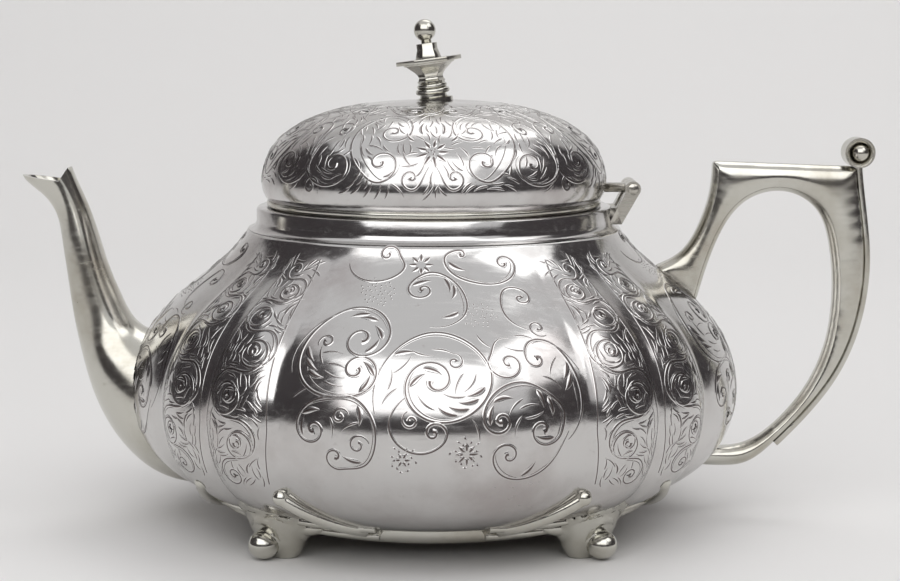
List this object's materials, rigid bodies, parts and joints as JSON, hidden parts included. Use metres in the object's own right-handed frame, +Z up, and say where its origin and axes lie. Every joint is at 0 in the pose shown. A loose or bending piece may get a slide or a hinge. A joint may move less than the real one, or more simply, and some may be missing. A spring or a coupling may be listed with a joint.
{
  "type": "silver teapot",
  "caption": "Squat lobed silver teapot with an engraved bowl, hinged domed lid with a faceted finial, curved spout, angular loop handle and small cast feet.",
  "frame": {"origin": "on the table under the middle of the teapot's whole length, in its plane of symmetry", "axes": "+X from the spout towards the handle, +Y away from the side seen in the picture, +Z up"},
  "size_m": [0.2495, 0.1784, 0.1472],
  "materials": {
    "chased_silver": "polished silver plate over nickel silver, engraved, with tarnish in the grooves",
    "cast_silver": "polished cast silver plate, a little warmer and worn",
    "fitting_silver": "plain worn silver plate"
  },
  "bodies": {
    "pot": {"body_shell": "chased_silver", "base_disc": "chased_silver", "base_ring": "chased_silver", "neck_collar": "chased_silver", "spout": "cast_silver", "handle_frame": "cast_silver", "handle_bead": "cast_silver", "handle_scroll_ring": "cast_silver", "handle_scroll_ball": "cast_silver", "foot_front_left": "cast_silver", "foot_front_right": "cast_silver", "foot_back_left": "cast_silver", "foot_back_right": "cast_silver", "hinge_lower_leaf": "fitting_silver", "hinge_pin": "fitting_silver"},
    "lid": {"lid_dome": "chased_silver", "lid_edge": "chased_silver", "lid_bezel": "chased_silver", "hinge_upper_leaf": "fitting_silver", "finial_foot": "cast_silver", "finial_cup": "cast_silver", "finial_cap": "cast_silver", "finial_ball": "cast_silver", "finial_stud": "fitting_silver", "finial_washer": "fitting_silver", "finial_nut": "fitting_silver"}
  },
  "joints": [
    {"name": "lid_hinge", "type": "hinge", "parent": "pot", "child": "lid", "pos_m": [0.05375, 0, 0.0982], "axis": [0, 1, 0], "range_deg": [0, 100]}
  ]
}
